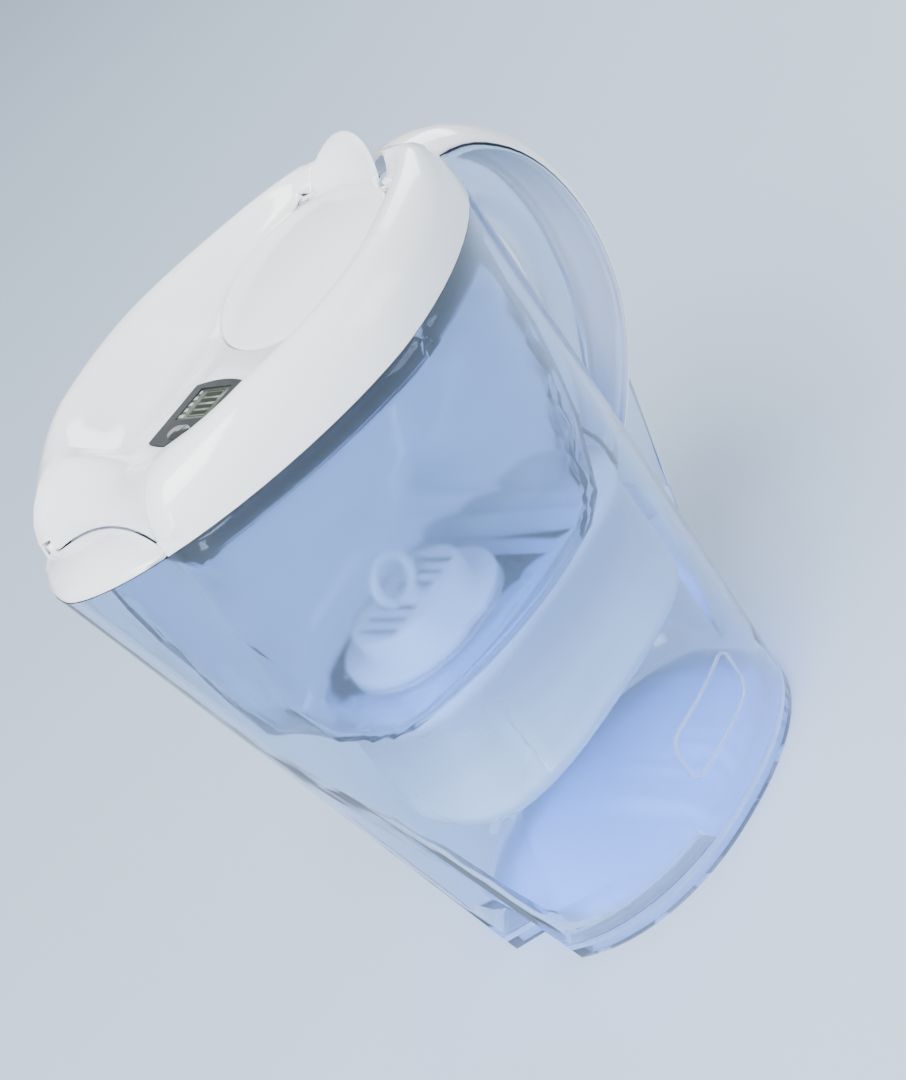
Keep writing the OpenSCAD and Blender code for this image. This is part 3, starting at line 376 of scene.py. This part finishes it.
    def _lay_pattern(
        self,
        finish: Finish,
        tree: bpy.types.NodeTree,
        drift: bpy.types.Node,
        bump: bpy.types.Node,
        shader: bpy.types.Node,
    ) -> None:
        """Lays a woven, beaded, tracked, brushed or striped pattern in the finish's two tones.

        Args:
            finish: the finish, with its pattern.
            tree: the material's nodes.
            drift: its tone drift group.
            bump: its Bump node.
            shader: its Principled shader.
        """
        mix = tree.nodes.new("ShaderNodeMix")
        mix.data_type = "RGBA"
        mix.inputs[MIX_FIRST].default_value = (*finish.light, 1.0)
        mix.inputs[MIX_SECOND].default_value = (*finish.dark, 1.0)
        lay = {Pattern.BEADS: self._beads, Pattern.TRACKS: self._tracks}.get(finish.pattern, self._waves)
        tree.links.new(lay(finish, tree, bump), mix.inputs[MIX_FACTOR])
        result = mix.outputs[MIX_RESULT]
        if finish.pattern is Pattern.LIQUID_CRYSTAL:
            soft = tree.nodes.new("ShaderNodeMix")
            soft.data_type = "RGBA"
            soft.inputs[MIX_FACTOR].default_value = self.segment_share
            tree.links.new(drift.outputs["Colour"], soft.inputs[MIX_FIRST])
            tree.links.new(result, soft.inputs[MIX_SECOND])
            result = soft.outputs[MIX_RESULT]
        tree.links.new(result, shader.inputs["Base Color"])

    def _beads(self, finish: Finish, tree: bpy.types.NodeTree, bump: bpy.types.Node) -> bpy.types.NodeSocket:
        """Packs round grains of two tones, raised by the bump.

        Args:
            finish: gives their number to a metre.
            tree: the material's nodes.
            bump: its Bump node.

        Returns:
            Where the darker tone shows, 0 or 1.
        """
        place = tree.nodes.new("ShaderNodeTexCoord")
        cells = tree.nodes.new("ShaderNodeTexVoronoi")
        cells.inputs["Scale"].default_value = finish.drift_scale
        steps = tree.nodes.new("ShaderNodeMath")
        steps.operation = "GREATER_THAN"
        steps.inputs[1].default_value = self.dark_beads_over
        apart = tree.nodes.new("ShaderNodeSeparateColor")
        tree.links.new(place.outputs["Object"], cells.inputs["Vector"])
        tree.links.new(cells.outputs["Color"], apart.inputs["Color"])
        tree.links.new(apart.outputs["Red"], steps.inputs[0])
        tree.links.new(cells.outputs["Distance"], bump.inputs["Height"])
        bump.invert = True
        return steps.outputs["Value"]

    def _tracks(self, finish: Finish, tree: bpy.types.NodeTree, bump: bpy.types.Node) -> bpy.types.NodeSocket:
        """Runs thin metal tracks over a circuit board.

        Args:
            finish: gives their number to a metre.
            tree: the material's nodes.
            bump: its Bump node.

        Returns:
            Where the tracks are, from 0 to 1.
        """
        place = tree.nodes.new("ShaderNodeTexCoord")
        cells = tree.nodes.new("ShaderNodeTexBrick")
        cells.inputs["Scale"].default_value = finish.drift_scale
        cells.inputs["Mortar Size"].default_value = self.track_width
        tree.links.new(place.outputs["Object"], cells.inputs["Vector"])
        tree.links.new(cells.outputs["Fac"], bump.inputs["Height"])
        return cells.outputs["Fac"]

    def _waves(self, finish: Finish, tree: bpy.types.NodeTree, bump: bpy.types.Node) -> bpy.types.NodeSocket:
        """Lays even stripes one way, or crosses two sets of them into a raised mesh.

        Args:
            finish: gives their number to a metre, and whether they cross.
            tree: the material's nodes.
            bump: its Bump node.

        Returns:
            Where the darker tone shows, from 0 to 1.
        """
        woven = finish.pattern is Pattern.WEAVE
        place = tree.nodes.new("ShaderNodeTexCoord")
        waves = []
        for way in ("X", "Y") if woven else ("Y",):
            wave = tree.nodes.new("ShaderNodeTexWave")
            wave.bands_direction = way
            wave.inputs["Scale"].default_value = finish.drift_scale / self.drift_to_waves
            wave.inputs["Distortion"].default_value = 0.0 if woven else self.stripe_wobble
            tree.links.new(place.outputs["Object"], wave.inputs["Vector"])
            waves.append(wave.outputs["Fac"])
        if not woven:
            return waves[0]
        both = tree.nodes.new("ShaderNodeMath")
        both.operation = "MULTIPLY"
        tree.links.new(waves[0], both.inputs[0])
        tree.links.new(waves[1], both.inputs[1])
        tree.links.new(both.outputs["Value"], bump.inputs["Height"])
        return both.outputs["Value"]


@dataclass(frozen=True)
class Skin:
    """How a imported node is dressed.

    Args:
        node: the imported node.
        slot: the slot of its finish.
        crease: degrees between faces over which an edge stays crisp.
    """

    node: str
    slot: str
    crease: float


class Maker:
    """What every sub-assembly uses to make, dress and hand over its pieces."""

    corner_steps: int = 8

    def __init__(self, frame: dict, shop: NodeShop) -> None:
        """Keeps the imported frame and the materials.

        Args:
            shop: the materials.
        """
        self.frame = frame
        self.shop = shop
        self.by_slot = {finish.slot: finish for finish in FINISHES}

    def dress(self, skin: Skin) -> bpy.types.Object:
        """Stands a finished skin in a node's place: its doubles merged, its curves smooth and its edges crisp.

        Args:
            skin: the node, its finish and its crease.

        Returns:
            The finished piece.
        """
        source = self.frame["nodes"][skin.node]
        shell = bmesh.new()
        shell.from_mesh(source.data)
        bmesh.ops.remove_doubles(shell, verts=shell.verts, dist=WELD)
        bmesh.ops.dissolve_degenerate(shell, edges=shell.edges, dist=SLIVER)
        piece = self.hand_over(shell, f"{skin.node}_skin", source["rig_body"], self.by_slot[skin.slot], skin.crease)
        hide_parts(skin.node)
        return piece

    def hand_over(
        self, shell: bmesh.types.BMesh, name: str, body: str, finish: Finish, crease: float = 32.0
    ) -> bpy.types.Object:
        """Turns a bmesh into a dressed piece that rides on its body.

        Args:
            shell: the piece's mesh, in place and in metres.
            name: the piece's name.
            body: the body it moves with.
            finish: its finish.
            crease: degrees between faces over which an edge stays crisp.

        Returns:
            The new object.
        """
        mesh = bpy.data.meshes.new(name)
        shell.to_mesh(mesh)
        shell.free()
        mesh.materials.clear()
        drawn = finish in (INK, PRINT, BADGE_LINE)
        mesh.materials.append(self.shop.material(finish, name if drawn else ""))
        mesh.shade_smooth()
        mesh.set_sharp_from_angle(angle=math.radians(crease))
        piece = bpy.data.objects.new(name, mesh)
        bpy.context.scene.collection.objects.link(piece)
        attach(piece, body)
        LOG.info("%s: %d faces on %s", name, len(mesh.polygons), body)
        return piece

    @staticmethod
    def rounded_ring(
        shell: bmesh.types.BMesh, centre: Vector, size: tuple[float, float], radius: float, width: float, deep: float
    ) -> None:
        """Adds a flat rounded frame in the XY plane, raised along +Z.

        Args:
            shell: the bmesh it is added to.
            centre: its middle, at its foot.
            size: its outside lengths along X and Y.
            radius: the outside corner radius.
            width: the frame's width.
            deep: its height.
        """
        made = bmesh.ops.create_grid(shell, x_segments=1, y_segments=1, size=0.5)
        verts = made["verts"]
        bmesh.ops.scale(shell, vec=(size[0], size[1], 1.0), verts=verts)
        bmesh.ops.translate(shell, vec=centre, verts=verts)
        bmesh.ops.bevel(shell, geom=verts, offset=radius, offset_type="OFFSET", segments=Maker.corner_steps,
                        profile=0.5, affect="VERTICES", material=-1)
        face = max(shell.faces, key=lambda f: f.calc_area())
        bmesh.ops.inset_region(shell, faces=[face], thickness=width, use_boundary=True, use_even_offset=True)
        bmesh.ops.delete(shell, geom=[face], context="FACES")
        lifted = bmesh.ops.extrude_face_region(shell, geom=list(shell.faces))
        top = [g for g in lifted["geom"] if isinstance(g, bmesh.types.BMVert)]
        bmesh.ops.translate(shell, vec=(0.0, 0.0, deep), verts=top)


@dataclass
class Jug:
    """The clear jug with its foot ring, its see-through handle channel and the white cover on its spine."""

    maker: Maker
    badge_x: tuple[float, float] = (-19.0, 31.0)
    badge_z: tuple[float, float] = (32.0, 55.0)
    badge_radius: float = 7.0
    badge_line: float = 1.2
    badge_proud: float = 0.8
    badge_sink: float = 0.15
    badge_crease: float = 40.0
    bend_over: float = 4.0
    bend_cuts: int = 10
    in_front: float = 200.0
    skins: tuple[Skin, ...] = (
        Skin("jug_body", "clear_jug", 30.0),
        Skin("foot_ring", "foot_rubber", 30.0),
        Skin("handle_grip", "handle_clear", 40.0),
        Skin("handle_cover", "white_gloss", 35.0),
    )

    def build(self) -> None:
        """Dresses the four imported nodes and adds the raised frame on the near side."""
        for skin in self.skins:
            self.maker.dress(skin)
        self.raised_frame()

    def raised_frame(self) -> bpy.types.Object:
        """Makes the bare rounded frame that stands proud of the jug's near side.

        Returns:
            The frame.
        """
        solid = bmesh.new()
        solid.from_mesh(self.maker.frame["nodes"]["jug_body"].data)
        wall = BVHTree.FromBMesh(solid)
        solid.free()
        shell = bmesh.new()
        long, tall = (self.badge_x[1] - self.badge_x[0]) * MM, (self.badge_z[1] - self.badge_z[0]) * MM
        Maker.rounded_ring(shell, Vector((0.0, 0.0, 0.0)), (long, tall), self.badge_radius * MM,
                           self.badge_line * MM, self.badge_proud * MM)
        straight = [edge for edge in shell.edges if edge.calc_length() > self.bend_over * MM]
        bmesh.ops.subdivide_edges(shell, edges=straight, cuts=self.bend_cuts)
        middle = Vector((sum(self.badge_x) / 2 * MM, 0.0, sum(self.badge_z) / 2 * MM))
        for vert in shell.verts:
            x, z, proud = middle.x + vert.co.x, middle.z + vert.co.y, vert.co.z
            hit, normal, _, _ = wall.ray_cast(Vector((x, -self.in_front * MM, z)), Vector((0.0, 1.0, 0.0)))
            vert.co = hit + normal * (proud - self.badge_sink * MM)
        bmesh.ops.recalc_face_normals(shell, faces=shell.faces)
        return self.maker.hand_over(shell, "badge_frame", "jug", BADGE_LINE, self.badge_crease)


@dataclass
class Funnel:
    """The blue funnel that sits in the jug, with the milky well its cartridge hangs in."""

    maker: Maker
    roof_gap: float = 0.15
    tank: Skin = Skin("funnel_tank", "funnel_clear", 62.0)
    well: Skin = Skin("cartridge_well", "well_milky", 62.0)

    def build(self) -> None:
        """Dresses the funnel's two nodes, with a hair of air between the tank's floor and the well's roof."""
        self.maker.dress(self.tank)
        well = self.maker.dress(self.well)
        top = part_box("cartridge_well")[1].z
        for vert in well.data.vertices:
            if vert.co.z > top - self.roof_gap * MM / 2:
                vert.co.z -= self.roof_gap * MM


@dataclass
class Cartridge:
    """The filter cartridge: shell, cap with its pull ring, seal, screens and granulate."""

    maker: Maker
    crease: float = 34.0
    slots: dict[str, str] = field(default_factory=lambda: {
        "cartridge_shell": "cartridge_white",
        "cartridge_cap": "cartridge_white",
        "cartridge_seal": "seal_rubber",
        "inlet_screen": "screen_mesh",
        "outlet_screen": "screen_mesh",
        "filter_granulate": "granulate",
    })

    def build(self) -> None:
        """Dresses the cartridge's nodes."""
        for node, slot in self.slots.items():
            self.maker.dress(Skin(node, slot, self.crease))


@dataclass
class Lid:
    """The white lid with its round flip lid and the flap over the spout."""

    maker: Maker
    crease: float = 38.0
    slots: dict[str, str] = field(default_factory=lambda: {
        "lid_shell": "lid_white",
        "lid_skirt": "lid_white",
        "flip_lid": "lid_white",
        "spout_flap": "white_gloss",
    })

    def build(self) -> None:
        """Dresses the lid, its skirt, the flip lid and the flap."""
        for node, slot in self.slots.items():
            self.maker.dress(Skin(node, slot, self.crease))


@dataclass
class Indicator:
    """The cartridge-life indicator in the lid: case, bezel, display, button and what is inside."""

    maker: Maker
    bars: int = 4
    bar: tuple[float, float] = (1.9, 8.6)
    bar_step: float = 3.1
    bar_y: float = -1.4
    bar_thick: float = 0.08
    bar_lift: float = 0.02
    bar_corner: float = 0.25
    bar_corner_steps: int = 3
    line_width: float = 0.35
    line_room: tuple[float, float] = (0.8, 1.6)
    line_corner: float = 0.8
    line_thick: float = 0.06
    line_sink: float = 0.02
    numbers: tuple[str, ...] = ("100", "75", "50", "25", "0")
    number_height: float = 2.1
    number_step: float = 3.0
    number_inset: float = 2.0
    number_thick: float = 0.03
    number_lift: float = 0.03
    crease: float = 30.0
    slots: dict[str, str] = field(default_factory=lambda: {
        "indicator_case": "case_white",
        "indicator_bezel": "bezel_grey",
        "lcd_panel": "lcd",
        "contact_strip": "strip_rubber",
        "circuit_board": "board_green",
        "coin_cell": "cell_steel",
        "cell_clip": "clip_brass",
        "button_dome": "cell_steel",
        "start_button": "button_black",
    })

    def build(self) -> None:
        """Dresses the indicator's nodes and draws what its display shows."""
        for node, slot in self.slots.items():
            self.maker.dress(Skin(node, slot, self.crease))
        self.display_bars()
        self.display_line()
        self.scale_numbers()

    def display_bars(self) -> bpy.types.Object:
        """Draws the display's four dark bars.

        Returns:
            The bars, as one piece.
        """
        low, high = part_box("lcd_panel")
        shell = bmesh.new()
        for index in range(self.bars):
            made = bmesh.ops.create_cube(shell, size=1.0)
            x = (low.x + high.x) / 2 + (index - (self.bars - 1) / 2) * self.bar_step * MM
            place = Matrix.Translation((x, self.bar_y * MM, high.z + self.bar_lift * MM))
            size = Matrix.Diagonal((self.bar[0] * MM, self.bar[1] * MM, self.bar_thick * MM, 1.0))
            bmesh.ops.transform(shell, matrix=place @ size, verts=made["verts"])
        half = self.bar_thick * MM / 2
        upright = [edge for edge in shell.edges if abs(edge.verts[0].co.z - edge.verts[1].co.z) > half]
        bmesh.ops.bevel(shell, geom=upright, offset=self.bar_corner * MM, segments=self.bar_corner_steps,
                        profile=0.5, affect="EDGES", material=-1)
        return self.maker.hand_over(shell, "display_bars", "lid", INK)

    def display_line(self) -> bpy.types.Object:
        """Draws the thin line round the bars.

        Returns:
            The line.
        """
        low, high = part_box("lcd_panel")
        shell = bmesh.new()
        centre = Vector(((low.x + high.x) / 2, self.bar_y * MM, high.z - self.line_sink * MM))
        size = ((self.bars * self.bar_step + self.line_room[0]) * MM, (self.bar[1] + self.line_room[1]) * MM)
        Maker.rounded_ring(shell, centre, size, self.line_corner * MM, self.line_width * MM, self.line_thick * MM)
        bmesh.ops.recalc_face_normals(shell, faces=shell.faces)
        return self.maker.hand_over(shell, "display_line", "lid", INK)

    def scale_numbers(self) -> bpy.types.Object:
        """Prints the plain scale beside the bars.

        Returns:
            The numbers, as one piece.
        """
        low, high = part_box("lcd_panel")
        shell = bmesh.new()
        for index, number in enumerate(self.numbers):
            curve = bpy.data.curves.new("number", "FONT")
            curve.body = number
            curve.size = self.number_height * MM
            curve.align_x, curve.align_y = "CENTER", "CENTER"
            curve.extrude = self.number_thick * MM
            written = bpy.data.objects.new("number", curve)
            bpy.context.scene.collection.objects.link(written)
            bpy.context.view_layer.update()
            mesh = bpy.data.meshes.new_from_object(written.evaluated_get(bpy.context.evaluated_depsgraph_get()))
            x = (low.x + high.x) / 2 + (index - (len(self.numbers) - 1) / 2) * self.number_step * MM
            place = Matrix.Translation((x, high.y - self.number_inset * MM, high.z + self.number_lift * MM))
            mesh.transform(place @ Matrix.Rotation(math.radians(-90.0), 4, "Z"))
            shell.from_mesh(mesh)
            bpy.data.objects.remove(written)
            bpy.data.meshes.remove(mesh)
            bpy.data.curves.remove(curve)
        return self.maker.hand_over(shell, "scale_numbers", "lid", PRINT)


@dataclass(frozen=True)
class Lamp:
    """A soft box aimed at the pitcher.

    Args:
        name: the lamp's name.
        place: where it stands, in metres.
        size: its width and height, in metres.
        watts: its power.
        tint: its colour.
    """

    name: str
    place: Place
    size: tuple[float, float]
    watts: float
    tint: Colour = (1.0, 1.0, 1.0)


@dataclass
class Studio:
    """The pale floor, the soft boxes, the air and the camera; its lengths are in metres, as a lamp's are."""

    shop: NodeShop
    camera_place: Place = (-0.4680, -0.7099, 0.5836)
    camera_target: Place = (-0.0013, 0.0, 0.1429)
    camera_lens: float = 87.2
    camera_roll: float = -36.86
    sensor_width: float = 36.0
    floor_side: float = 14.0
    air_tint: Colour = (0.84, 0.91, 1.0)
    air_strength: float = 0.8
    aim: Place = (0.0, 0.0, 0.15)
    lamps: tuple[Lamp, ...] = (
        Lamp("key_box", (-0.85, -0.5, 1.45), (0.9, 0.9), 54.0),
        Lamp("side_strip", (-1.25, -0.55, 0.35), (0.25, 1.0), 10.0, (0.95, 0.98, 1.0)),
        Lamp("fill_box", (0.95, -1.25, 0.75), (0.9, 0.7), 10.0, (0.86, 0.93, 1.0)),
        Lamp("rim_box", (1.35, 0.35, 0.95), (0.6, 0.8), 16.0, (0.9, 0.96, 1.0)),
    )

    def build(self) -> None:
        """Lays the floor, lights it and places the camera."""
        self.lay_floor()
        for lamp in self.lamps:
            self.hang(lamp)
        self.fill_air()
        self.place_camera()

    def lay_floor(self) -> None:
        """Lays a plain pale floor under the pitcher."""
        shell = bmesh.new()
        bmesh.ops.create_grid(shell, x_segments=1, y_segments=1, size=self.floor_side / 2)
        mesh = bpy.data.meshes.new("floor")
        shell.to_mesh(mesh)
        shell.free()
        mesh.materials.append(self.shop.material(FLOOR))
        floor = bpy.data.objects.new("floor", mesh)
        bpy.context.scene.collection.objects.link(floor)

    def hang(self, lamp: Lamp) -> None:
        """Hangs one soft box.

        Args:
            lamp: the soft box.
        """
        data = bpy.data.lights.new(lamp.name, "AREA")
        data.shape = "RECTANGLE"
        data.size, data.size_y = lamp.size
        data.energy = lamp.watts
        data.color = lamp.tint
        made = bpy.data.objects.new(lamp.name, data)
        made.location = lamp.place
        made.rotation_mode = "QUATERNION"
        made.rotation_quaternion = (Vector(self.aim) - Vector(lamp.place)).to_track_quat("-Z", "Y")
        bpy.context.scene.collection.objects.link(made)

    def fill_air(self) -> None:
        """Fills the room with even pale light."""
        world = bpy.data.worlds.new("room")
        bpy.context.scene.world = world
        world.use_nodes = True
        sky = world.node_tree.nodes["Background"]
        sky.inputs["Color"].default_value = (*self.air_tint, 1.0)
        sky.inputs["Strength"].default_value = self.air_strength

    def place_camera(self) -> None:
        """Places the camera, rolled so that the upright pitcher appears to pour."""
        back = (Vector(self.camera_place) - Vector(self.camera_target)).normalized()
        right = (-back).cross(Vector((0.0, 0.0, 1.0))).normalized()
        up = right.cross(-back)
        roll = math.radians(self.camera_roll)
        right, up = (math.cos(roll) * right + math.sin(roll) * up, -math.sin(roll) * right + math.cos(roll) * up)
        data = bpy.data.cameras.new("camera")
        data.lens = self.camera_lens
        data.sensor_width = self.sensor_width
        camera = bpy.data.objects.new("camera", data)
        turn = Matrix((right, up, back)).transposed().to_4x4()
        camera.matrix_world = Matrix.Translation(self.camera_place) @ turn
        bpy.context.scene.collection.objects.link(camera)
        bpy.context.scene.camera = camera


def main() -> None:
    """Builds the pitcher piece by piece, then its studio."""
    logging.basicConfig(level=logging.INFO, format="%(name)s: %(message)s")
    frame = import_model()
    shop = NodeShop()
    maker = Maker(frame, shop)
    for assembly in (Jug(maker), Funnel(maker), Cartridge(maker), Lid(maker), Indicator(maker)):
        assembly.build()
        LOG.info("%s done", type(assembly).__name__)
    Studio(shop).build()


if __name__ == "__main__":
    main()
